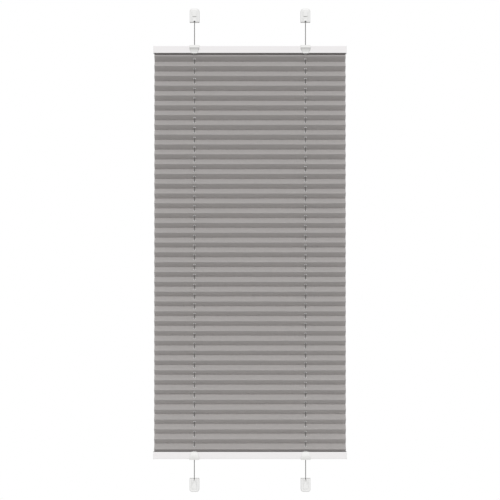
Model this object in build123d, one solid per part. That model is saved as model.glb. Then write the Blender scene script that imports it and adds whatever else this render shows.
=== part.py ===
from build123d import *

import os
from math import asin, cos, sin

# A pleated blind that slides on two tight cords between four screwed feet. Sizes are in millimetres.
# X runs to the right, Y into the window and Z up. The origin is the middle of the four foot screws,
# in the plane of the feet's backs. The head rail's pieces are modelled in place, and the bottom
# rail's are the same pieces turned over about the blind's middle.

# Overall
blind_width = 400.0  # over the end caps
cord_spacing = 230.0  # between the two cords
cord_above = 50.8  # cord that shows between the head rail and the top feet
cord_below = 40.9  # cord that shows between the bottom rail and the bottom feet
wall_gap = 0.95  # from the grips' back hooks to the wall

# Fabric: one sheet, folded and hemmed at both ends
pleat_count = 41
pleat_pitch = 20.3  # from one front fold to the next
facet_length = 20.0  # along the cloth from fold to fold
fabric_thickness = 0.35
fabric_hole = 4.0  # punched across each facet for the cord
fabric_side_gap = 0.5  # from the fabric to each end cap
fabric_entry = 4.0  # how deep the last fold sits inside its rail

# Fabric strips
strip_thickness = 1.0
strip_leg = 1.14
hem_room = 0.1  # beside the folded hem, inside the strip
lip_bearing = 0.9  # how much of the back leg rests on the rail's lip

# Cords
cord_diameter = 1.6
knot_diameter = 4.4
cord_tail = 2.5

# Rail extrusion
rail_height = 14.4
rail_wall = 1.2
rail_corner = 0.8
groove_lip = 1.0
front_lip = 9.0  # from the rail's front face to the groove's slot
web_thickness = 1.0
channel_corner = 0.6

# End caps
cap_thickness = 1.5
cap_lip = 0.5  # how far a cap stands proud of the rail's outline
cap_corner = 1.3
spigot_length = 9.0
spigot_wall = 1.4

# Cord guides
guide_length = 18.0
boss_wall = 1.8
guide_mouth = 0.8  # chamfer where the cord enters

# Crossing cords and their springs, inside the rails
crossing_reach = 4.0  # how far a crossing cord runs into its guide
spring_length = 36.0
spring_diameter = 5.2  # outside the coil
spring_wire = 0.8
spring_pitch = 2.4
spring_knot = 3.0
spring_gap = 1.6  # between the two springs

# Grips
grip_width = 20.0
grip_tip_width = 11.5
grip_plate = 1.4
grip_bulge = 7.5  # how far the grip's crest stands in front of the rail
grip_crest = 10.8  # height of the crest above the rail's fabric edge
grip_setback = 2.2  # the top front edge lies this far behind the crest
grip_tip = 0.8  # how far the grip's lip hangs below the rail
grip_scoop = 1.8  # hollow of the finger face
grip_lip_reach = 1.3
grip_hook = 5.5  # how far the back hook reaches down
grip_round = 0.4

# Feet and the tension shoes that slide into them
foot_width = 20.0
foot_height = 27.6
foot_cover = 3.0  # from the cords to the foot's front
foot_back = 2.8
foot_side = 1.8
foot_lip = 1.8
foot_opening = 10.6  # between the front lips
foot_edge = 1.2
foot_end_edge = 0.4
screw_hole = 4.2
screw_head = 7.6
shoe_head = 6.0  # the part of the shoe that caps the foot's outer end
shoe_corner = 5.5
shoe_brow = 2.0  # rounding of the cap's front edge
panel_rise = 1.2  # how far the shoe's panel stands in front of the foot's lips
panel_round = 0.5
funnel_wide = 8.0  # the hollow in the shoe's front
funnel_narrow = 4.6
funnel_height = 8.0
funnel_floor = 3.9  # above the foot's inner end
funnel_wall = 0.6  # between the funnel and the cord's channel behind it
notch_width = 5.2
notch_height = 2.4

# Clearances
cord_fit = 0.5  # around a cord in a guide
slot_fit = 0.3  # beside a cord in a shoe's slot
slide_fit = 0.2  # between a shoe and its foot
snap_fit = 0.15  # between a rail and what is clipped or plugged into it
boss_fit = 0.1  # around a guide's bosses, in the rail's holes
strip_fit = 0.1  # around a fabric strip in its groove
knot_seat = 0.1  # between a knot and what it rests on
knot_fit = 0.1  # beside a knot at the bottom of its pocket
pocket_room = 0.2  # in front of a knot
tail_room = 1.0  # above a cord's tail
overshoot = 1.0  # how far a cut runs past the face it opens

# Worked out: the fabric and the strip around its hem
fabric_drop = pleat_count * pleat_pitch
facet_slope = asin(pleat_pitch / 2 / facet_length)
pleat_half = facet_length * cos(facet_slope) / 2
fabric_skew = fabric_thickness / sin(facet_slope)
hem_top = fabric_entry + fabric_thickness / 2
leg_gap = 2 * pleat_half + fabric_skew + 2 * hem_room
strip_width = leg_gap + 2 * strip_leg

# Worked out: the rail around the strip
inner_depth = strip_width + 2 * strip_fit
rail_depth = inner_depth + 2 * rail_wall
groove_top = hem_top + strip_thickness + strip_fit
slot_front = front_lip - rail_depth / 2
slot_back = strip_width / 2 - lip_bearing
channel_floor = groove_top + web_thickness
channel_height = rail_height - rail_wall - channel_floor
channel_middle = channel_floor + channel_height / 2
rail_length = blind_width - 2 * cap_thickness
fabric_width = rail_length - 2 * fabric_side_gap

# Worked out: the cords, their holes and the whole blind's height
cord_standoff = wall_gap + grip_plate + snap_fit + rail_depth / 2
cord_sides = {"left": -cord_spacing / 2, "right": cord_spacing / 2}
guide_bore = cord_diameter + 2 * cord_fit
guide_boss = guide_bore + 2 * boss_wall
cord_opening = guide_bore + 2 * guide_mouth
crossing_offset = (spring_diameter + spring_gap) / 2
rails_height = fabric_drop - 2 * fabric_entry + 2 * rail_height
blind_height = rails_height + cord_above + cord_below + 2 * foot_height
blind_drop = (cord_above - cord_below) / 2
rail_face = fabric_drop / 2 - fabric_entry - blind_drop

# Worked out: the feet
foot_depth = cord_standoff + foot_cover
panel_front = foot_depth + panel_rise
screw_height = (blind_height - foot_height) / 2
slot_width = cord_diameter + 2 * slot_fit
pocket_width = knot_diameter + 2 * knot_fit
pocket_height = knot_seat + knot_diameter + cord_tail + tail_room
pocket_front = cord_standoff + knot_diameter / 2 + pocket_room
pocket_floor = funnel_floor + funnel_height + knot_fit

# A section's sketch plane: its x is depth from the cords, its y is height above the rail's edge
rail_plane = Plane(origin=(0, -cord_standoff, rail_face), x_dir=(0, 1, 0), z_dir=(1, 0, 0))
# A front view of the same: its x is the blind's X, its y is the same height
front_plane = Plane(origin=(0, -cord_standoff, rail_face), x_dir=(1, 0, 0), z_dir=(0, -1, 0))
blind_middle = Axis((0, 0, -blind_drop), (0, 1, 0))
feet_middle = Axis((0, 0, 0), (0, 1, 0))


def on_rail(x, depth, height):
    """A location in the head rail, from its middle, the cords and its fabric edge."""
    return Pos(x, depth - cord_standoff, height + rail_face)


def upright(radius, x, low, high):
    """A vertical round bar on a cord, between two heights in the rail."""
    return on_rail(x, 0, (low + high) / 2) * Cylinder(radius, high - low)


def section(sketch, start, end):
    """A rail section carried along X."""
    return extrude(rail_plane.offset(start) * sketch, end - start)


def boxed(width, low, height, corner=0.0):
    """A rectangle in the section's sketch, standing on a height."""
    shape = RectangleRounded(width, height, corner) if corner else Rectangle(width, height)
    return Pos(0, low + height / 2) * shape


def rail_extrusion():
    """The aluminium section: a fabric groove, a web and a cord channel, drilled for the cords."""
    profile = boxed(rail_depth, 0, rail_height, rail_corner)
    profile -= boxed(inner_depth, channel_floor, channel_height, channel_corner)
    profile -= boxed(inner_depth, groove_lip, groove_top - groove_lip)
    slot = boxed(slot_back - slot_front, -overshoot, groove_top)
    profile -= Pos((slot_back + slot_front) / 2, 0) * slot
    rail = section(profile, -rail_length / 2, rail_length / 2)
    for x in cord_sides.values():
        rail -= upright(guide_boss / 2 + boss_fit, x, groove_lip, 2 * rail_height)
    return rail


def end_cap():
    """The right cap: a plate a little proud of the rail, with a hollow spigot in the cord channel."""
    plate = boxed(rail_depth + 2 * cap_lip, -cap_lip, rail_height + 2 * cap_lip, cap_corner)
    cap = section(plate, rail_length / 2, blind_width / 2)
    outer = cap.faces().sort_by(Axis.X)[-1]
    cap = fillet(outer.edges(), cap_lip)
    width = inner_depth - 2 * snap_fit
    height = channel_height - 2 * snap_fit
    spigot = boxed(width, channel_floor + snap_fit, height, channel_corner)
    hollow_low = channel_floor + snap_fit + spigot_wall
    hollow = boxed(width - 2 * spigot_wall, hollow_low, height - 2 * spigot_wall)
    return cap + section(spigot - hollow, rail_length / 2 - spigot_length, rail_length / 2)


def fabric_strip():
    """A shallow channel strip that hangs the fabric's hem from the groove's lips."""
    bottom = groove_lip + strip_fit
    profile = boxed(strip_width, bottom, hem_top + strip_thickness - bottom)
    profile -= boxed(leg_gap, 0, hem_top)
    strip = section(profile, -fabric_width / 2, fabric_width / 2)
    for x in cord_sides.values():
        strip -= upright(cord_opening / 2, x, 0, rail_height)
    return strip


def cord_guide(x):
    """A plug in the cord channel: the cord slides up through it, and crossing cords leave inwards."""
    width = inner_depth - 2 * snap_fit
    profile = boxed(width, channel_floor + snap_fit, channel_height - 2 * snap_fit, channel_corner)
    guide = section(profile, x - guide_length / 2, x + guide_length / 2)
    guide += upright(guide_boss / 2, x, groove_top, rail_height)
    guide -= upright(guide_bore / 2, x, 0, 2 * rail_height)
    narrow, wide = guide_bore / 2, cord_opening / 2
    guide -= on_rail(x, 0, groove_top + guide_mouth / 2) * Cone(wide, narrow, guide_mouth)
    guide -= on_rail(x, 0, rail_height - guide_mouth / 2) * Cone(narrow, wide, guide_mouth)
    inwards = -1 if x > 0 else 1
    for depth in (-crossing_offset, crossing_offset):
        bore = Rot(0, 90, 0) * Cylinder(guide_bore / 2, guide_length)
        guide -= on_rail(x + inwards * guide_length / 2, depth, channel_middle) * bore
    return guide


def crossing_cord(depth, start, end, knots=()):
    """A straight run of cord inside the rail, with a knot where it is tied to a spring."""
    run = Rot(0, 90, 0) * Cylinder(cord_diameter / 2, end - start)
    cord = on_rail((start + end) / 2, depth, channel_middle) * run
    for x in knots:
        cord += on_rail(x, depth, channel_middle) * Rot(0, 90, 0) * Sphere(spring_knot / 2)
    return cord


def tension_spring(depth):
    """An extension spring, with a bar across each end that a crossing cord is tied to."""
    radius = (spring_diameter - spring_wire) / 2
    coil_length = spring_length - spring_wire
    path = Helix(spring_pitch, coil_length, radius, direction=(1, 0, 0))
    wire = Circle(spring_wire / 2)
    spring = sweep(Plane(origin=path @ 0, z_dir=path % 0) * wire, path=path, is_frenet=True)
    for end in (path @ 0, path @ 1):
        inwards = Vector(end.X, 0, 0) - end
        spring += extrude(Plane(origin=end, z_dir=inwards) * wire, 2 * radius)
    return on_rail(-coil_length / 2, depth, channel_middle) * spring


def grip(x):
    """A clip-on handle: a plate over the rail, a hook behind it and a hollowed finger wedge in front."""
    front, back = -rail_depth / 2 - snap_fit, rail_depth / 2 + snap_fit
    over, top = rail_height + snap_fit, rail_height + snap_fit + grip_plate
    crest = (front - grip_bulge, grip_crest)
    tip = (front - grip_plate, -grip_tip)
    scoop = ((crest[0] + tip[0]) / 2 + grip_scoop, (crest[1] + tip[1]) / 2)
    lip = front + snap_fit + grip_lip_reach
    hook = rail_height - grip_hook
    edge = ThreePointArc(crest, scoop, tip)
    edge += Polyline(
        tip,
        (lip, -grip_tip),
        (lip, -snap_fit),
        (front, -snap_fit),
        (front, over),
        (back, over),
        (back, hook),
        (back + grip_plate, hook),
        (back + grip_plate, top),
        (crest[0] + grip_setback, top),
        crest,
    )
    body = section(make_face(edge), x - grip_width / 2, x + grip_width / 2)
    half, narrow = grip_width / 2, grip_tip_width / 2
    outline = Polygon(
        (-half, top),
        (-half, grip_crest),
        (-narrow, -grip_tip),
        (narrow, -grip_tip),
        (half, grip_crest),
        (half, top),
        align=None,
    )
    body &= extrude(front_plane * Pos(x, 0) * outline, 2 * rail_depth, both=True)
    wedge = body.faces().filter_by(lambda f: f.center().Y + cord_standoff < front - snap_fit)
    rims = [e for e in wedge.edges() if abs(e.center().Y + cord_standoff - front) > grip_round]
    body = fillet(rims, grip_round)
    back_rims = body.faces().sort_by(Axis.Y)[-1].edges()
    body = fillet(back_rims, grip_round)
    return body - upright(cord_opening / 2, x, rail_height, top + overshoot)


def pleated_fabric():
    """The folded sheet with a flat hem at each end, punched on the two cords."""
    half_drop = fabric_drop / 2
    folds = []
    for i in range(2 * pleat_count + 1):
        side = 1 if i % 2 == 0 else -1
        folds.append((side * pleat_half, half_drop - i * pleat_pitch / 2))
    skew, lift = fabric_skew / 2, fabric_thickness / 2
    hem = 2 * pleat_half
    front, back = [], []
    for y, z in folds[1:-1]:
        front.append((y - skew, z))
        back.append((y + skew, z))
    head, foot = folds[0], folds[-1]
    start = [(head[0] - hem, head[1] - lift), (head[0] - skew, head[1] - lift)]
    start_back = [(head[0] - hem, head[1] + lift), (head[0] + skew, head[1] + lift)]
    end = [(foot[0] - skew, foot[1] + lift), (foot[0] - hem, foot[1] + lift)]
    end_back = [(foot[0] + skew, foot[1] - lift), (foot[0] - hem, foot[1] - lift)]
    outline = start + front + end + list(reversed(start_back + back + end_back))
    middle = Plane(origin=(0, -cord_standoff, -blind_drop), x_dir=(0, 1, 0), z_dir=(1, 0, 0))
    profile = make_face(Polyline(*outline, close=True))
    sheet = extrude(middle * profile, fabric_width / 2, both=True)
    for x in cord_sides.values():
        punch = Ellipse(fabric_hole / 2, fabric_hole / 2 * cos(facet_slope))
        base = Pos(x, -cord_standoff, -blind_drop)
        sheet -= base * extrude(punch, fabric_drop, both=True)
    return sheet


def foot_base(x):
    """A top foot: a short channel with front lips, screwed through its back."""
    low = blind_height / 2 - foot_height
    length = foot_height - shoe_head
    plan = Pos(0, -foot_depth / 2) * Rectangle(foot_width, foot_depth)
    inside = foot_depth - foot_back - foot_lip
    plan -= Pos(0, -foot_back - inside / 2) * Rectangle(foot_width - 2 * foot_side, inside)
    plan -= Pos(0, -foot_depth) * Rectangle(foot_opening, 2 * foot_lip + inside)
    base = Pos(x, 0, low) * extrude(plan, length)
    corners = base.edges().filter_by(Axis.Z).group_by(Axis.Y)[0]
    outer = [e for e in corners if abs(e.center().X - x) > foot_opening / 2 + foot_lip]
    base = fillet(outer, foot_edge)
    rim = base.faces().sort_by(Axis.Z)[0].outer_wire().edges()
    base = chamfer([e for e in rim if e.center().Y < -foot_edge], foot_end_edge)
    hole = Pos(x, 0, screw_height) * Rot(90, 0, 0)
    base -= hole * Cylinder(screw_hole / 2, 4 * foot_back)
    sink = (screw_head - screw_hole) / 2
    base -= hole * Pos(0, 0, foot_back - sink / 2) * Cone(screw_hole / 2, screw_head / 2, sink)
    return base


def tension_shoe(x):
    """A top shoe: it slides into the foot, caps its end and holds the cord's knot."""
    low = blind_height / 2 - foot_height
    body_width = foot_width - 2 * foot_side - 2 * slide_fit
    body_depth = foot_depth - foot_back - foot_lip - 2 * slide_fit
    panel_width = foot_opening - 2 * slide_fit
    body_front = foot_depth - foot_lip - slide_fit
    plan = Pos(0, body_depth / 2 - body_front) * Rectangle(body_width, body_depth)
    panel_depth = panel_front - foot_back - slide_fit
    plan += Pos(0, panel_depth / 2 - panel_front) * Rectangle(panel_width, panel_depth)
    shoe = extrude(plan, foot_height - shoe_head)
    cap = Pos(0, -(foot_depth + slide_fit) / 2) * Rectangle(foot_width, foot_depth - slide_fit)
    head = Pos(0, 0, foot_height - shoe_head) * extrude(cap, shoe_head)
    crown = Pos(0, -slide_fit, foot_height / 2) * Rot(90, 0, 0) * extrude(
        Rectangle(foot_width, foot_height), panel_front
    )
    crown = fillet(crown.edges().filter_by(Axis.Y).group_by(Axis.Z)[-1], shoe_corner)
    head &= crown
    brow = head.faces().sort_by(Axis.Y)[0].edges().sort_by(Axis.Z)[1:]
    head = fillet(brow, shoe_brow)
    shoe += head
    panel_edges = shoe.faces().sort_by(Axis.Y)[0].edges()
    shoe = fillet(panel_edges, panel_round)
    shoe -= cord_seat()
    return Pos(x, 0, low) * shoe


def cord_seat():
    """What is cut from a shoe: behind, a pocket for the knot over a channel for the cord, both open
    to the foot's back wall; in front, a blind funnel and the notch that the cord leaves by."""
    back = foot_back
    pocket_length = pocket_front - back
    pocket = Pos(0, -back - pocket_length / 2) * Rectangle(pocket_width, pocket_length)
    cut = Pos(0, 0, pocket_floor) * extrude(pocket, pocket_height)
    channel_length = cord_standoff - back
    channel = Pos(0, -back - channel_length / 2) * Rectangle(slot_width, channel_length)
    channel += Pos(0, -cord_standoff) * Circle(slot_width / 2)
    cut += Pos(0, 0, -overshoot) * extrude(channel, pocket_floor + 2 * overshoot)
    funnel = Polygon(
        (-funnel_wide / 2, funnel_floor + funnel_height),
        (-funnel_narrow / 2, funnel_floor),
        (funnel_narrow / 2, funnel_floor),
        (funnel_wide / 2, funnel_floor + funnel_height),
        align=None,
    )
    notch = Polygon(
        (-notch_width / 2, 0),
        (notch_width / 2, 0),
        (slot_width / 2, notch_height),
        (-slot_width / 2, notch_height),
        align=None,
    )
    face = Plane(origin=(0, -panel_front, 0), x_dir=(1, 0, 0), z_dir=(0, -1, 0))
    channel_front = panel_front - cord_standoff - slot_width / 2
    cut += extrude(face * funnel, -(channel_front - funnel_wall))
    return cut + extrude(face * notch, -channel_front - slot_width / 2)


def tight_cord(x):
    """A cord from foot to foot, knotted above the slot of each shoe."""
    knot_centre = blind_height / 2 - foot_height + pocket_floor + knot_seat + knot_diameter / 2
    length = 2 * (knot_centre + knot_diameter / 2 + cord_tail)
    cord = Cylinder(cord_diameter / 2, length)
    for z in (-knot_centre, knot_centre):
        cord += Pos(0, 0, z) * Sphere(knot_diameter / 2)
    return Pos(x, -cord_standoff, 0) * cord


opposite = {"left": "right", "right": "left"}
depths = {"front": -crossing_offset, "back": crossing_offset}
nodes = {"pleated_fabric": pleated_fabric()}

# Feet, shoes and cords. A bottom foot is a top foot turned half round.
for side, x in cord_sides.items():
    nodes[f"top_{side}_foot"] = foot_base(x)
    nodes[f"top_{side}_shoe"] = tension_shoe(x)
    nodes[f"{side}_cord"] = tight_cord(x)
for side in cord_sides:
    for piece in ("foot", "shoe"):
        turned = nodes[f"top_{opposite[side]}_{piece}"].rotate(feet_middle, 180)
        nodes[f"bottom_{side}_{piece}"] = turned

# Head rail. A left cap is a right cap turned about the cords' middle.
upright_middle = Axis((0, -cord_standoff, 0), (0, 0, 1))
nodes["head_rail"] = rail_extrusion()
nodes["head_fabric_strip"] = fabric_strip()
nodes["head_right_end_cap"] = end_cap()
nodes["head_left_end_cap"] = nodes["head_right_end_cap"].rotate(upright_middle, 180)
for side, x in cord_sides.items():
    nodes[f"head_{side}_cord_guide"] = cord_guide(x)
    nodes[f"head_{side}_grip"] = grip(x)

# Bottom rail: the same pieces, turned over about the blind's middle
for name in ("rail", "fabric_strip"):
    nodes[f"bottom_{name}"] = nodes[f"head_{name}"].rotate(blind_middle, 180)
for side in cord_sides:
    for piece in ("end_cap", "cord_guide", "grip"):
        turned = nodes[f"head_{opposite[side]}_{piece}"].rotate(blind_middle, 180)
        nodes[f"bottom_{side}_{piece}"] = turned

# Crossing cords: in the head rail each is tied to a spring, in the bottom rail each runs right across
guide_end = cord_spacing / 2 - guide_length / 2 + crossing_reach
tie = spring_length / 2 + spring_knot / 2 + knot_seat
for place, depth in depths.items():
    nodes[f"head_{place}_spring"] = tension_spring(depth)
    nodes[f"head_{place}_left_crossing_cord"] = crossing_cord(depth, -guide_end, -tie, [-tie])
    nodes[f"head_{place}_right_crossing_cord"] = crossing_cord(depth, tie, guide_end, [tie])
    straight = crossing_cord(depth, -guide_end, guide_end)
    nodes[f"bottom_{place}_crossing_cord"] = straight.rotate(blind_middle, 180)

os.makedirs("parts", exist_ok=True)
for name, shape in nodes.items():
    export_step(shape, f"parts/{name}.step")
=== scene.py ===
import math

import bpy
import numpy as np
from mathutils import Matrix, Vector


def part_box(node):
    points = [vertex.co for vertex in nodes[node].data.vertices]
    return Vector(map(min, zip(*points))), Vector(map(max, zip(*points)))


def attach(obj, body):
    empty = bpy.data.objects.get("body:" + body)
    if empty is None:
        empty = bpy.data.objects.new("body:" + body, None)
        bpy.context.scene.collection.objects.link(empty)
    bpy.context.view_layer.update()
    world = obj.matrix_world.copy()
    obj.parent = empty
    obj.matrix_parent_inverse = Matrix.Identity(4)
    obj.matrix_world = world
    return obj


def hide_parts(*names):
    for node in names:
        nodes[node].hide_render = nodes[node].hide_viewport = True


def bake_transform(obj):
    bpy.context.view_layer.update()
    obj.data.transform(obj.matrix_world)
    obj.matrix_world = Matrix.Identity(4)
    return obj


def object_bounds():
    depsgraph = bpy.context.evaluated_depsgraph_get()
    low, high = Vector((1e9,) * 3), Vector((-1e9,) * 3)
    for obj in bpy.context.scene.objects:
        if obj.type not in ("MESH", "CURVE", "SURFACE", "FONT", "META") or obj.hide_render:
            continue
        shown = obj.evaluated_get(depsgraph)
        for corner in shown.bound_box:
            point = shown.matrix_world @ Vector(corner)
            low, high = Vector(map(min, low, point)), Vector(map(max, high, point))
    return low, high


# A pleated blind on two tight cords, put together piece by piece. Lengths are in metres.
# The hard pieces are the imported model's own. The cloth and the cords are new surfaces in their place.
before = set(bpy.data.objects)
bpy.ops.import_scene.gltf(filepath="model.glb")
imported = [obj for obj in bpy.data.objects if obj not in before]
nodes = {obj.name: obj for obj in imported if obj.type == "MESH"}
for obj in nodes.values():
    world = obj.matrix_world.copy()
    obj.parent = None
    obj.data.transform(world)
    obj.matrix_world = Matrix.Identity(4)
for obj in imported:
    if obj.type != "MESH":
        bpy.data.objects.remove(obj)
cad_low, cad_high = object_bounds()


# The camera stands straight in front, far away and a little below the blind's middle, which it looks at.
camera_distance = 4.9645
camera_drop = 0.086
blind_centre = (cad_low + cad_high) / 2
camera_data = bpy.data.cameras.new("camera")
camera_data.sensor_width = 36
camera_data.lens = 172.2
camera = bpy.data.objects.new("camera", camera_data)
camera.location = (0, -camera_distance, -camera_drop)
aim = Vector((0, 0, blind_centre.z)) - camera.location
camera.rotation_euler = aim.to_track_quat("-Z", "Y").to_euler()
bpy.context.scene.collection.objects.link(camera)
bpy.context.scene.camera = camera


# The studio is one wide soft lamp in front and above, in a white surround. The surround shows as pure
# white and lights the object more dimly than it shows. No colour grading is laid over the picture.
bpy.context.scene.view_settings.view_transform = "Standard"
bpy.context.scene.view_settings.look = "None"
lamp_height = math.radians(25)
lamp_data = bpy.data.lights.new("soft_lamp", "SUN")
lamp_data.energy = 1.9
lamp_data.angle = math.radians(16)
lamp = bpy.data.objects.new("soft_lamp", lamp_data)
towards_lamp = Vector((0, -1, math.tan(lamp_height)))
lamp.rotation_euler = towards_lamp.to_track_quat("Z", "Y").to_euler()
bpy.context.scene.collection.objects.link(lamp)


def add(tree, kind, sockets=None, **settings):
    """Adds a shader node with its settings. Each named socket gets a value or another node's output."""
    node = tree.nodes.new(kind)
    for name, value in settings.items():
        setattr(node, name, value)
    for key, value in (sockets or {}).items():
        if isinstance(value, bpy.types.NodeSocket):
            tree.links.new(value, node.inputs[key])
        else:
            node.inputs[key].default_value = value
    return node


surround = bpy.data.worlds.new("surround")
surround.use_nodes = True
surround_tree = surround.node_tree
surround_tree.nodes.clear()
surround_white = (1, 1, 1, 1)
surround_light = (1, 0.995, 0.99, 1)
shown = add(surround_tree, "ShaderNodeBackground", {"Color": surround_white, "Strength": 1.0})
lighting = add(surround_tree, "ShaderNodeBackground", {"Color": surround_light, "Strength": 0.49})
looked_at = add(surround_tree, "ShaderNodeLightPath").outputs["Is Camera Ray"]
either = {0: looked_at, 1: lighting.outputs[0], 2: shown.outputs[0]}
surround_mix = add(surround_tree, "ShaderNodeMixShader", either)
add(surround_tree, "ShaderNodeOutputWorld", {"Surface": surround_mix.outputs[0]})
bpy.context.scene.world = surround


# A pale painted floor lies a few centimetres under the blind, which hangs clear of it.
floor_drop = 0.06
floor_half_width = 1.2
floor_front, floor_back = -1.2, 0.42


def calculate(tree, operation, first, second=0.0):
    """The result of one Math node, which works on one or two values."""
    return add(tree, "ShaderNodeMath", {0: first, 1: second}, operation=operation).outputs[0]


def new_group(name, inputs, outputs):
    """An empty shader node group with named inputs and outputs, and its two end nodes."""
    group = bpy.data.node_groups.new(name, "ShaderNodeTree")
    for label, kind in inputs.items():
        group.interface.new_socket(label, in_out="INPUT", socket_type=kind)
    for label, kind in outputs.items():
        group.interface.new_socket(label, in_out="OUTPUT", socket_type=kind)
    return group, group.nodes.new("NodeGroupInput").outputs, group.nodes.new("NodeGroupOutput")


# Grain: a fine bump of a given size under a broad, faint cloudiness. Paint, plastic and metal share it.
# A noise texture's values lie about noise_middle.
noise_middle = 0.5
number, direction = "NodeSocketFloat", "NodeSocketVector"
grain_inputs = {"Place": direction, "Grain Size": number, "Cloud Size": number, "Cloud Strength": number}
grain, given, grain_end = new_group("surface_grain", grain_inputs, {"Height": number, "Tone": number})
fine_scale = calculate(grain, "DIVIDE", 1.0, given["Grain Size"])
fine = add(grain, "ShaderNodeTexNoise", {"Vector": given["Place"], "Scale": fine_scale, "Detail": 2.0})
broad_scale = calculate(grain, "DIVIDE", 1.0, given["Cloud Size"])
broad = add(grain, "ShaderNodeTexNoise", {"Vector": given["Place"], "Scale": broad_scale, "Detail": 3.0})
clouds = calculate(grain, "SUBTRACT", broad.outputs["Fac"], noise_middle)
grain.links.new(fine.outputs["Fac"], grain_end.inputs["Height"])
cloudy = calculate(grain, "MULTIPLY", clouds, given["Cloud Strength"])
grain.links.new(calculate(grain, "ADD", 1.0, cloudy), grain_end.inputs["Tone"])


def new_material(name):
    """An empty node material, and its tree."""
    material = bpy.data.materials.new(name)
    material.use_nodes = True
    material.node_tree.nodes.clear()
    return material, material.node_tree


def grained(name, colour, roughness, grain_size, grain_depth, cloud_size, cloud_strength, **gloss):
    """A plain coloured finish with surface grain. Its colour and roughness follow the clouds a little.
    gloss holds further inputs of the shader."""
    material, tree = new_material(name)
    place = add(tree, "ShaderNodeTexCoord").outputs["Object"]
    skin = add(tree, "ShaderNodeGroup", node_tree=grain)
    tree.links.new(place, skin.inputs["Place"])
    sizes = {"Grain Size": grain_size, "Cloud Size": cloud_size, "Cloud Strength": cloud_strength}
    for label, value in sizes.items():
        skin.inputs[label].default_value = value
    tone = skin.outputs["Tone"]
    tinted = add(tree, "ShaderNodeVectorMath", {0: colour, "Scale": tone}, operation="SCALE")
    rough = calculate(tree, "MULTIPLY", tone, roughness)
    bump = add(tree, "ShaderNodeBump", {"Height": skin.outputs["Height"], "Distance": grain_depth})
    finish = {"Base Color": tinted.outputs[0], "Roughness": rough, "Normal": bump.outputs[0], **gloss}
    shader = add(tree, "ShaderNodeBsdfPrincipled", finish)
    add(tree, "ShaderNodeOutputMaterial", {"Surface": shader.outputs[0]})
    return material


floor_paint = grained(
    "pale_floor",
    colour=(0.78, 0.78, 0.77),
    roughness=0.7,
    grain_size=0.004,
    grain_depth=0.0002,
    cloud_size=0.5,
    cloud_strength=0.04,
)
floor_z = cad_low.z - floor_drop
floor_mesh = bpy.data.meshes.new("floor")
floor_corners = [
    (-floor_half_width, floor_front, floor_z),
    (floor_half_width, floor_front, floor_z),
    (floor_half_width, floor_back, floor_z),
    (-floor_half_width, floor_back, floor_z),
]
floor_mesh.from_pydata(floor_corners, [], [(0, 1, 2, 3)])
floor_mesh.materials.append(floor_paint)
floor = bpy.data.objects.new("floor", floor_mesh)
bpy.context.scene.collection.objects.link(floor)


# Four feet, each a short channel moulded in white polyamide and screwed to the window bead
# through its back wall. The moulded skin is satin, with a fine spark-eroded grain.
foot_white = grained(
    "white_foot_moulding",
    colour=(0.75, 0.75, 0.745),
    roughness=0.42,
    grain_size=0.0004,
    grain_depth=0.00002,
    cloud_size=0.012,
    cloud_strength=0.05,
    IOR=1.5,
)


def finish_nodes(material, names):
    """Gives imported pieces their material."""
    for name in names:
        materials = nodes[name].data.materials
        materials.clear()
        materials.append(material)


ends = ("top", "bottom")
sides = ("left", "right")
rails = ("head", "bottom")
finish_nodes(foot_white, [f"{end}_{side}_foot" for end in ends for side in sides])


# Four tension shoes, moulded in the same white but polished smoother, so that they slide in the feet.
# Each caps its foot's end, has a blind funnel in its face, and holds a cord's knot in a pocket at its back,
# farther out than the funnel.
shoe_white = grained(
    "white_shoe_moulding",
    colour=(0.765, 0.765, 0.76),
    roughness=0.3,
    grain_size=0.0006,
    grain_depth=0.00001,
    cloud_size=0.012,
    cloud_strength=0.05,
    IOR=1.5,
)
finish_nodes(shoe_white, [f"{end}_{side}_shoe" for end in ends for side in sides])


# Two tight cords, braided from eight carriers of grey polyester, each knotted in the shoe at both ends.
# A cord is one straight tube, its wall raised where a carrier passes over, and swollen to a ball at a knot.
cord_radius = 0.0008
cord_tail = 0.0025  # past a knot
carrier_count = 8
braid_lead = 0.0016  # how far a carrier runs on top before it goes under, as far again
braid_relief = 0.09  # a share of the radius
tip_floor = 0.02  # the least share of a tip's squared radius
points_around = 16
rings_per_lead = 6


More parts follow.
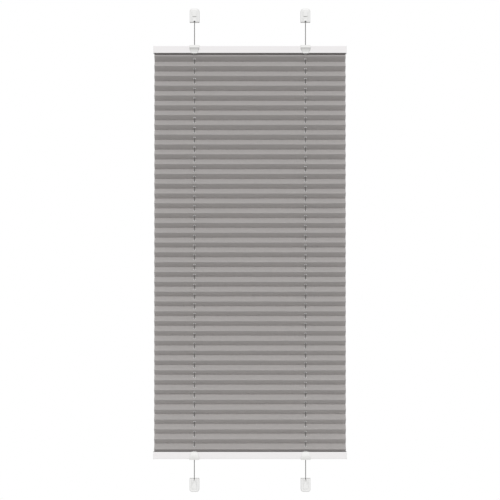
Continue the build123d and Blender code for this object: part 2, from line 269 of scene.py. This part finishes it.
def braided_cord(name, start, end, knots=()):
    """A closed tube from start to end. Its radius is the cord's, or at a knot the root of the knot's radius
    squared less the distance from its middle squared. The braid lowers it by up to the relief's share: with
    p and q the angle plus and minus the run, counted in carriers, a carrier is on top where floor p plus
    floor q is even, and its back is a half sine. The ends are rounded, as melted tips are. The UV map holds
    the angle in turns and the run in metres. knots holds each knot's distance from start and its radius."""
    length = (end - start).length
    along = (end - start).normalized()
    across = along.orthogonal().normalized()
    up = along.cross(across)
    run = np.linspace(0, length, round(length / braid_lead * rings_per_lead) + 1)
    turn = np.arange(points_around) / points_around
    p = carrier_count / 2 * turn[None, :] + run[:, None] / braid_lead / 2
    q = carrier_count / 2 * turn[None, :] - run[:, None] / braid_lead / 2
    over = (np.floor(p) + np.floor(q)) % 2 == 0
    back = np.where(over, np.sin(np.pi * (p % 1)), np.sin(np.pi * (q % 1)))
    smooth_radius = np.full(len(run), cord_radius)
    for middle, knot_radius in knots:
        ball = np.sqrt(np.clip(knot_radius**2 - (run - middle) ** 2, 0, None))
        smooth_radius = np.maximum(smooth_radius, ball)
    to_end = np.clip(np.minimum(run, run[-1] - run) / cord_radius, 0, 1)
    tip = np.sqrt(np.clip(1 - (1 - to_end) ** 2, tip_floor, 1))
    radius = (smooth_radius * tip)[:, None] * (1 - braid_relief * (1 - back))
    angle = 2 * np.pi * turn[:, None]
    ring = np.cos(angle) * np.array(across) + np.sin(angle) * np.array(up)
    centres = np.array(start) + run[:, None] * np.array(along)
    vertices = (centres[:, None, :] + radius[..., None] * ring[None, :, :]).reshape(-1, 3)
    rows = np.arange(len(run) - 1)[:, None] * points_around
    here = rows + np.arange(points_around)
    beside = rows + (np.arange(points_around) + 1) % points_around
    quads = np.stack([here, beside, beside + points_around, here + points_around], axis=2).reshape(-1, 4)
    first_cap = list(reversed(range(points_around)))
    last_cap = [len(vertices) - points_around + k for k in range(points_around)]
    mesh = bpy.data.meshes.new(name)
    mesh.from_pydata(vertices.tolist(), [], quads.tolist() + [first_cap, last_cap])
    u, v = np.meshgrid(turn, run[:-1])
    v_next = np.broadcast_to(run[1:, None], v.shape)
    corner_u = np.stack([u, u + 1 / points_around, u + 1 / points_around, u], axis=2)
    corner_v = np.stack([v, v, v_next, v_next], axis=2)
    wall = np.stack([corner_u, corner_v], axis=3).reshape(-1, 2)
    caps = np.zeros((2 * points_around, 2))
    layer = mesh.uv_layers.new(name="yarn")
    layer.data.foreach_set("uv", np.concatenate([wall, caps]).astype(np.float32).ravel())
    mesh.shade_smooth()
    piece = bpy.data.objects.new(name, mesh)
    bpy.context.scene.collection.objects.link(piece)
    return piece


# The yarns' filaments show as a fine bump with light and dark strands, drawn out along the cord.
strands_around = 60.0
strands_per_metre = 2500.0
strand_dark = (0.07, 0.068, 0.066, 1)
strand_light = (0.14, 0.137, 0.134, 1)
cord_grey, cord_tree = new_material("grey_braid")
yarn = add(cord_tree, "ShaderNodeUVMap", uv_map="yarn").outputs[0]
stretch = {0: yarn, 1: (strands_around, strands_per_metre, 1.0)}
strands_at = add(cord_tree, "ShaderNodeVectorMath", stretch, operation="MULTIPLY").outputs[0]
strands = add(cord_tree, "ShaderNodeTexNoise", {"Vector": strands_at, "Scale": 1.0, "Detail": 3.0})
cord_ramp = add(cord_tree, "ShaderNodeValToRGB", {"Fac": strands.outputs["Fac"]})
cord_ramp.color_ramp.elements[0].position = 0.3
cord_ramp.color_ramp.elements[0].color = strand_dark
cord_ramp.color_ramp.elements[1].position = 0.75
cord_ramp.color_ramp.elements[1].color = strand_light
cord_bump = {"Height": strands.outputs["Fac"], "Distance": 0.00004}
cord_look = {
    "Base Color": cord_ramp.outputs[0],
    "Roughness": 0.75,
    "Sheen Weight": 0.15,
    "Sheen Roughness": 0.5,
    "Normal": add(cord_tree, "ShaderNodeBump", cord_bump).outputs[0],
}
cord_shader = add(cord_tree, "ShaderNodeBsdfPrincipled", cord_look)
add(cord_tree, "ShaderNodeOutputMaterial", {"Surface": cord_shader.outputs[0]})

for side in sides:
    low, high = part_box(f"{side}_cord")
    knot_radius = (high.x - low.x) / 2
    cord_foot = Vector(((low.x + high.x) / 2, (low.y + high.y) / 2, low.z))
    cord_head = Vector((cord_foot.x, cord_foot.y, high.z))
    first_knot = cord_tail + knot_radius
    knots = [(first_knot, knot_radius), (high.z - low.z - first_knot, knot_radius)]
    cord = braided_cord(f"{side}_braided_cord", cord_foot, cord_head, knots)
    cord.data.materials.append(cord_grey)
    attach(cord, "feet_and_cords")
    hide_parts(f"{side}_cord")


# Two rails, the same extruded aluminium section turned over, powder-coated white.
# The coating has a soft orange-peel surface.
rail_white = grained(
    "white_powder_coat",
    colour=(0.77, 0.755, 0.76),
    roughness=0.38,
    grain_size=0.0012,
    grain_depth=0.00003,
    cloud_size=0.06,
    cloud_strength=0.03,
    IOR=1.5,
)
finish_nodes(rail_white, [f"{rail}_rail" for rail in rails])


# Four end caps, moulded in white plastic and pushed into the rails' cord channels.
cap_white = grained(
    "white_cap_moulding",
    colour=(0.79, 0.785, 0.785),
    roughness=0.35,
    grain_size=0.0005,
    grain_depth=0.00001,
    cloud_size=0.01,
    cloud_strength=0.04,
)
finish_nodes(cap_white, [f"{rail}_{side}_end_cap" for rail in rails for side in sides])


# Four cord guides inside the rails, moulded in white acetal, and smooth where the cords rub.
guide_white = grained(
    "white_guide_acetal",
    colour=(0.8, 0.8, 0.78),
    roughness=0.25,
    grain_size=0.0006,
    grain_depth=0.000006,
    cloud_size=0.01,
    cloud_strength=0.05,
)
finish_nodes(guide_white, [f"{rail}_{side}_cord_guide" for rail in rails for side in sides])


# Two strips of clear extruded plastic that hold the cloth's hems in the rails' grooves.
# Fine drawing lines run along them.
line_counts = (4.0, 5000.0, 5000.0)  # per metre along the strip, across it and upwards
strip_roughness = 0.5
line_roughness = 0.2
strip_clear, strip_tree = new_material("clear_strip")
strip_place = add(strip_tree, "ShaderNodeTexCoord").outputs["Object"]
drawn = {0: strip_place, 1: line_counts}
along_strip = add(strip_tree, "ShaderNodeVectorMath", drawn, operation="MULTIPLY").outputs[0]
lines = add(strip_tree, "ShaderNodeTexNoise", {"Vector": along_strip, "Scale": 1.0, "Detail": 2.0})
line_bump = add(strip_tree, "ShaderNodeBump", {"Height": lines.outputs["Fac"], "Distance": 0.00001})
line_terms = {0: lines.outputs["Fac"], 1: line_roughness, 2: strip_roughness}
line_rough = add(strip_tree, "ShaderNodeMath", line_terms, operation="MULTIPLY_ADD").outputs[0]
strip_look = {
    "Base Color": (0.9, 0.9, 0.89, 1),
    "Roughness": line_rough,
    "Transmission Weight": 0.25,
    "IOR": 1.49,
    "Normal": line_bump.outputs[0],
}
strip_shader = add(strip_tree, "ShaderNodeBsdfPrincipled", strip_look)
add(strip_tree, "ShaderNodeOutputMaterial", {"Surface": strip_shader.outputs[0]})
finish_nodes(strip_clear, [f"{rail}_fabric_strip" for rail in rails])


# Two extension springs in the head rail, coiled from bright spring steel wire.
# A light oil film shows in the wire's uneven gloss.
spring_steel = grained(
    "spring_steel",
    colour=(0.56, 0.55, 0.53),
    roughness=0.28,
    grain_size=0.00015,
    grain_depth=0.000004,
    cloud_size=0.003,
    cloud_strength=0.35,
    Metallic=1.0,
)
finish_nodes(spring_steel, [f"head_{place}_spring" for place in ("front", "back")])


# Six crossing cords inside the rails, of the same grey braid. In the head rail each is knotted, at its end
# nearer the middle, to a spring. In the bottom rail two run straight across.
head_runs = [f"{place}_{side}" for place in ("front", "back") for side in sides]
for rail, runs in (("head", head_runs), ("bottom", ("front", "back"))):
    for place in runs:
        low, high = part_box(f"{rail}_{place}_crossing_cord")
        left_end = Vector((low.x, (low.y + high.y) / 2, (low.z + high.z) / 2))
        right_end = Vector((high.x, left_end.y, left_end.z))
        knot_radius = (high.z - low.z) / 2
        knots = []
        if rail == "head":
            knots = [(high.x - low.x - knot_radius if high.x < 0 else knot_radius, knot_radius)]
        cord = braided_cord(f"{rail}_{place}_braided_crossing_cord", left_end, right_end, knots)
        cord.data.materials.append(cord_grey)
        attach(cord, f"{rail}_rail")
        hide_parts(f"{rail}_{place}_crossing_cord")


# Four grips, moulded in white plastic, clipped round the rails where the cords enter.
# Fingers hold the hollowed wedge in front to slide a rail.
grip_white = grained(
    "white_grip_moulding",
    colour=(0.77, 0.77, 0.76),
    roughness=0.55,
    grain_size=0.0004,
    grain_depth=0.00002,
    cloud_size=0.008,
    cloud_strength=0.05,
    IOR=1.35,
)
finish_nodes(grip_white, [f"{rail}_{side}_grip" for rail in rails for side in sides])


# The cloth: one sheet of grey polyester, heat-set into pleats, punched for the cords in every facet and
# folded over at each end into a hem that the strip holds. It is made in two halves that meet on the
# middle fold.
pleat_facets = 82
facet_length = 0.020
cloth_thickness = 0.00035
hole_radius = 0.002
patch_half = 0.005  # half the side of the square patch around a hole
crease_half = 0.00025  # half a crease's run along the cloth
facet_sag = 0.00012
fold_wander = 0.00010

# How the cloth is cut into cells
patch_side_cells = 6  # along a patch's side
patch_rings = (0.0, 0.08, 0.4, 1.0)  # shares of the way from a hole's rim to its patch's side
crease_rows = (0, 0.5, 1.0, 1.6)  # rows beside a fold, in shares of crease_half
edge_cell = 0.0003  # the narrow cells that keep the cloth's cut edges crisp
outer_columns = 11  # from a cut edge to the nearer holes' patches
inner_columns = 25  # between the two lines of patches
merge_grid = 1e7  # steps per metre: points in the same step are one point

# Where it hangs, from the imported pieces' boxes
cloth_low, cloth_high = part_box("pleated_fabric")
half_facets = pleat_facets // 2
cloth_edge = cloth_high.x
fold_pitch = (cloth_high.z - cloth_low.z - cloth_thickness) / pleat_facets
facet_slope = math.asin(fold_pitch / facet_length)
cloth_depth = facet_length * math.cos(facet_slope)
cord_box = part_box("right_cord")
cord_x = (cord_box[0].x + cord_box[1].x) / 2
cord_y = (cord_box[0].y + cord_box[1].y) / 2
cloth_middle = (cloth_low.z + cloth_high.z) / 2

# How far each fold strays from a straight line along the blind, as two waves of its own, but not at a rail.
stray_seed = 41
stray_waves = np.array([0.19, 0.071])  # wavelengths
least_stray = 0.4  # a share of fold_wander
stray = np.random.default_rng(stray_seed)
stray_phase = stray.uniform(0, 2 * np.pi, (pleat_facets + 1, 2))
stray_size = fold_wander * stray.uniform(least_stray, 1.0, (pleat_facets + 1, 2))
stray_size[[0, -1]] = 0


def cloth_place(x, run, upwards):
    """Where a point of the cloth lies, from its distance along the blind and its run from the middle fold.
    The cloth goes straight from fold to fold, front and back in turn, each facet sagging in a parabola: four
    times facet_sag, times the share of the facet behind the point, times the share ahead. Within crease_half
    of a fold it follows a quadratic curve whose middle control point is the fold. After the last fold it
    turns flat to the front as the hem. Each point then strays by its two folds' waves, shared by nearness.
    upwards is 1 for the upper half and -1 for the lower."""
    folds = np.arange(-1, half_facets + 2)
    fold_y = np.where(folds % 2 == 0, cord_y - cloth_depth / 2, cord_y + cloth_depth / 2)
    fold_z = cloth_middle + upwards * fold_pitch * folds
    fold_z[-1] = fold_z[-2]
    corner = np.stack([fold_y, fold_z], axis=1)
    heading = np.diff(corner, axis=0)
    heading /= np.linalg.norm(heading, axis=1, keepdims=True)
    facet = np.clip(np.floor(run / facet_length).astype(int), 0, half_facets)
    into = run - facet * facet_length
    place = corner[facet + 1] + heading[facet + 1] * into[:, None]
    share = np.where(facet < half_facets, into / facet_length, 0)
    place[:, 1] -= 4 * facet_sag * share * (1 - share)
    fold = np.clip(np.round(run / facet_length).astype(int), 0, half_facets)
    past = run - fold * facet_length
    w = np.clip((past + crease_half) / (2 * crease_half), 0, 1)[:, None]
    before = corner[fold + 1] - heading[fold] * crease_half
    after = corner[fold + 1] + heading[fold + 1] * crease_half
    curve = (1 - w) ** 2 * before + 2 * w * (1 - w) * corner[fold + 1] + w**2 * after
    place = np.where((np.abs(past) < crease_half)[:, None], curve, place)
    row = half_facets - upwards * np.clip(run / facet_length, 0, half_facets)
    above = np.clip(np.floor(row).astype(int), 0, pleat_facets - 1)
    turns = 2 * np.pi * x[:, None] / stray_waves
    wave = np.sin(turns + stray_phase[above]) * stray_size[above]
    wave_next = np.sin(turns + stray_phase[above + 1]) * stray_size[above + 1]
    part = (row - above)[:, None]
    place[:, 1] += ((1 - part) * wave + part * wave_next).sum(axis=1)
    return np.stack([x, place[:, 0], place[:, 1]], axis=1)


def punched_patch():
    """Points and quads of a square patch with a round hole, about its centre: rings run from the hole's
    rim out to the square, whose side is cut in patch_side_cells to meet the cells around it."""
    side = np.linspace(-patch_half, patch_half, patch_side_cells + 1)[:-1]
    full = np.full(patch_side_cells, patch_half)
    square_x = np.concatenate([side, full, -side, -full])
    square_s = np.concatenate([-full, side, full, -side])
    reach = np.hypot(square_x, square_s)
    rim_x, rim_s = hole_radius * square_x / reach, hole_radius * square_s / reach
    spread = np.array(patch_rings)[:, None]
    points = np.stack([rim_x + spread * (square_x - rim_x), rim_s + spread * (square_s - rim_s)], axis=2)
    around = 4 * patch_side_cells
    ring = np.arange(len(spread) - 1)[:, None] * around
    here, beside = ring + np.arange(around), ring + (np.arange(around) + 1) % around
    quads = np.stack([here, beside, beside + around, here + around], axis=2)
    return points.reshape(-1, 2), quads.reshape(-1, 4)


def merged(points, quads):
    """The same quads, with points that coincide made one and points that no quad uses left out."""
    places = np.round(points * merge_grid).astype(np.int64)
    _, kept, single = np.unique(places, axis=0, return_index=True, return_inverse=True)
    points, quads = points[kept], single.ravel()[quads]
    used = np.unique(quads)
    renumber = np.zeros(len(points), int)
    renumber[used] = np.arange(len(used))
    return points[used], renumber[quads]


def flat_half():
    """Points and quads of half the sheet laid flat: a grid of cells, with punched patches let in on each
    cord's line in every facet and in the hem."""
    patch_rows = np.linspace(-patch_half, patch_half, patch_side_cells + 1)
    crease = crease_half * np.array(crease_rows)
    middle = facet_length / 2
    facet_rows = np.concatenate([crease, middle + patch_rows, facet_length - crease[:0:-1]])
    hem_start = half_facets * facet_length
    hem_middle = cloth_depth / 2
    hem_edge = [cloth_depth - edge_cell, cloth_depth]
    hem_rows = np.concatenate([crease, hem_middle + patch_rows, hem_edge])
    rows = (np.arange(half_facets)[:, None] * facet_length + facet_rows[None, :]).ravel()
    rows = np.concatenate([rows, hem_start + hem_rows])
    outer = np.linspace(-cloth_edge, -cord_x - patch_half, outer_columns)
    outer = np.insert(outer, 1, outer[0] + edge_cell)
    inner = np.linspace(-cord_x + patch_half, cord_x - patch_half, inner_columns)
    across_holes = patch_rows[1:-1]
    columns = np.concatenate([outer, -cord_x + across_holes, inner, cord_x + across_holes, -outer[::-1]])
    grid_x, grid_run = np.meshgrid(columns, rows)
    flat = np.stack([grid_x.ravel(), grid_run.ravel()], axis=1)
    corner = (np.arange(len(rows) - 1)[:, None] * len(columns) + np.arange(len(columns) - 1)).ravel()
    quads = np.stack([corner, corner + 1, corner + 1 + len(columns), corner + len(columns)], axis=1)
    centre = flat[quads].mean(axis=1)
    punches = np.concatenate([np.arange(half_facets) * facet_length + middle, [hem_start + hem_middle]])
    nearest = punches[np.abs(centre[:, 1:] - punches[None, :]).argmin(axis=1)]
    off_row = np.abs(centre[:, 1] - nearest) > patch_half
    off_column = np.abs(np.abs(centre[:, 0]) - cord_x) > patch_half
    quads = quads[off_row | off_column]
    patch_points, patch_quads = punched_patch()
    holes_x, holes_run = np.meshgrid([-cord_x, cord_x], punches)
    holes = np.stack([holes_x.ravel(), holes_run.ravel()], axis=1)
    patches = (holes[:, None, :] + patch_points[None, :, :]).reshape(-1, 2)
    starts = len(flat) + np.arange(len(holes)) * len(patch_points)
    patch_cells = (starts[:, None, None] + patch_quads[None, :, :]).reshape(-1, 4)
    return merged(np.concatenate([flat, patches]), np.concatenate([quads, patch_cells]))


def half_cloth(name, upwards):
    """Half the sheet, folded by cloth_place and given its thickness. Its quads are turned so that they face
    the same way on the upper half as on the lower. The UV map is the cloth laid flat."""
    flat, quads = flat_half()
    shape = flat[quads]
    ahead = np.roll(shape, -1, axis=1)
    area = (shape[..., 0] * ahead[..., 1] - ahead[..., 0] * shape[..., 1]).sum(axis=1)
    outward = (area > 0) == (upwards > 0)
    quads = np.where(outward[:, None], quads, quads[:, ::-1])
    mesh = bpy.data.meshes.new(name)
    mesh.from_pydata(cloth_place(flat[:, 0], flat[:, 1], upwards).tolist(), [], quads.tolist())
    layer = mesh.uv_layers.new(name="flat_cloth")
    flat_run = flat * [1, upwards]
    layer.data.foreach_set("uv", flat_run[quads].astype(np.float32).ravel())
    mesh.shade_smooth()
    cloth = bpy.data.objects.new(name, mesh)
    bpy.context.scene.collection.objects.link(cloth)
    thick = cloth.modifiers.new("thickness", "SOLIDIFY")
    thick.thickness = cloth_thickness
    thick.offset = 0
    return cloth


# Weave: a plain weave of a given yarn spacing. At each crossing one yarn lies over, in turn like a
# chessboard, and its back is a half sine. Slubs are the yarns' uneven thickness, drawn out along them.
weave_inputs = {"Flat Place": direction, "Yarn Spacing": number, "Slub Length": number}
weave_outputs = {"Height": number, "Slubs": number}
weave, woven, weave_end = new_group("plain_weave", weave_inputs, weave_outputs)
per_yarn = calculate(weave, "DIVIDE", 1.0, woven["Yarn Spacing"])
counted = add(weave, "ShaderNodeVectorMath", {0: woven["Flat Place"], "Scale": per_yarn}, operation="SCALE")
yarns = add(weave, "ShaderNodeSeparateXYZ", {0: counted.outputs[0]}).outputs
yarn_back = {}
for axis in ("X", "Y"):
    within = calculate(weave, "FRACT", yarns[axis])
    yarn_back[axis] = calculate(weave, "SINE", calculate(weave, "MULTIPLY", within, math.pi))
crossing = calculate(weave, "FLOOR", yarns["X"])
crossing = calculate(weave, "ADD", crossing, calculate(weave, "FLOOR", yarns["Y"]))
chess = calculate(weave, "PINGPONG", crossing, 1.0)
woven_height = {0: chess, 2: yarn_back["X"], 3: yarn_back["Y"]}
height = add(weave, "ShaderNodeMix", woven_height, data_type="FLOAT").outputs[0]
weave.links.new(height, weave_end.inputs["Height"])
slub_tones = []
for axis in ("X", "Y"):
    drawn_out = calculate(weave, "DIVIDE", yarns[axis], woven["Slub Length"])
    other = "Y" if axis == "X" else "X"
    stretched = {axis: drawn_out, other: yarns[other]}
    slub_at = add(weave, "ShaderNodeCombineXYZ", stretched).outputs[0]
    slub_tones.append(add(weave, "ShaderNodeTexNoise", {"Vector": slub_at, "Scale": 0.7}).outputs["Fac"])
slubs = calculate(weave, "SUBTRACT", calculate(weave, "ADD", *slub_tones), 2 * noise_middle)
weave.links.new(slubs, weave_end.inputs["Slubs"])

# The cloth filters light: let_through is the share that passes to its other side, softly.
# Its colour carries painted shade: by the weave's height, it is a little darker in the hollows between the
# yarns than on their backs.
let_through = 0.35
cloth_plain = (0.58, 0.561, 0.553)
cloth_glow = (0.775, 0.756, 0.747, 1)
cloth_roughness = 0.82
yarn_spacing = 0.00032
slub_length = 40.0  # in yarn spacings
slub_contrast = 0.10
hollow_shade_contrast = 0.08
weave_middle = 0.6  # the height that keeps the plain colour
cloth_grey, cloth_tree = new_material("grey_pleated_cloth")
flat_place = add(cloth_tree, "ShaderNodeUVMap", uv_map="flat_cloth").outputs[0]
weaving = add(cloth_tree, "ShaderNodeGroup", node_tree=weave)
cloth_tree.links.new(flat_place, weaving.inputs["Flat Place"])
weaving.inputs["Yarn Spacing"].default_value = yarn_spacing
weaving.inputs["Slub Length"].default_value = slub_length
slubbed = calculate(cloth_tree, "MULTIPLY", weaving.outputs["Slubs"], slub_contrast)
# Painted shade: the colour darkens where the weave lies low and lightens on the yarns' backs.
raised = calculate(cloth_tree, "SUBTRACT", weaving.outputs["Height"], weave_middle)
painted_hollow_shade = calculate(cloth_tree, "MULTIPLY", raised, hollow_shade_contrast)
cloth_slubs_and_shade = calculate(cloth_tree, "ADD", 1.0, calculate(cloth_tree, "ADD", slubbed, painted_hollow_shade))
cloth_colour = {0: cloth_plain, "Scale": cloth_slubs_and_shade}
cloth_tint = add(cloth_tree, "ShaderNodeVectorMath", cloth_colour, operation="SCALE")
cloth_bump = {"Height": weaving.outputs["Height"], "Distance": 0.00006}
cloth_look = {
    "Base Color": cloth_tint.outputs[0],
    "Roughness": calculate(cloth_tree, "ADD", cloth_roughness, slubbed),
    "Specular IOR Level": 0.25,
    "Sheen Weight": 0.08,
    "Sheen Roughness": 0.6,
    "Normal": add(cloth_tree, "ShaderNodeBump", cloth_bump).outputs[0],
}
cloth_shader = add(cloth_tree, "ShaderNodeBsdfPrincipled", cloth_look).outputs[0]
glow = add(cloth_tree, "ShaderNodeBsdfTranslucent", {"Color": cloth_glow}).outputs[0]
cloth_light = add(cloth_tree, "ShaderNodeMixShader", {0: let_through, 1: cloth_shader, 2: glow})
add(cloth_tree, "ShaderNodeOutputMaterial", {"Surface": cloth_light.outputs[0]})

for rail, upwards in (("head", 1), ("bottom", -1)):
    cloth = half_cloth(f"{'upper' if upwards > 0 else 'lower'}_pleated_cloth", upwards)
    cloth.data.materials.append(cloth_grey)
    if upwards > 0:
        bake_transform(cloth)
    else:
        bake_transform(cloth)
    # The cloth's points are read into an array.
    heights = np.empty(len(cloth.data.vertices) * 3)
    cloth.data.vertices.foreach_get("co", heights)
    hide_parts("pleated_fabric")
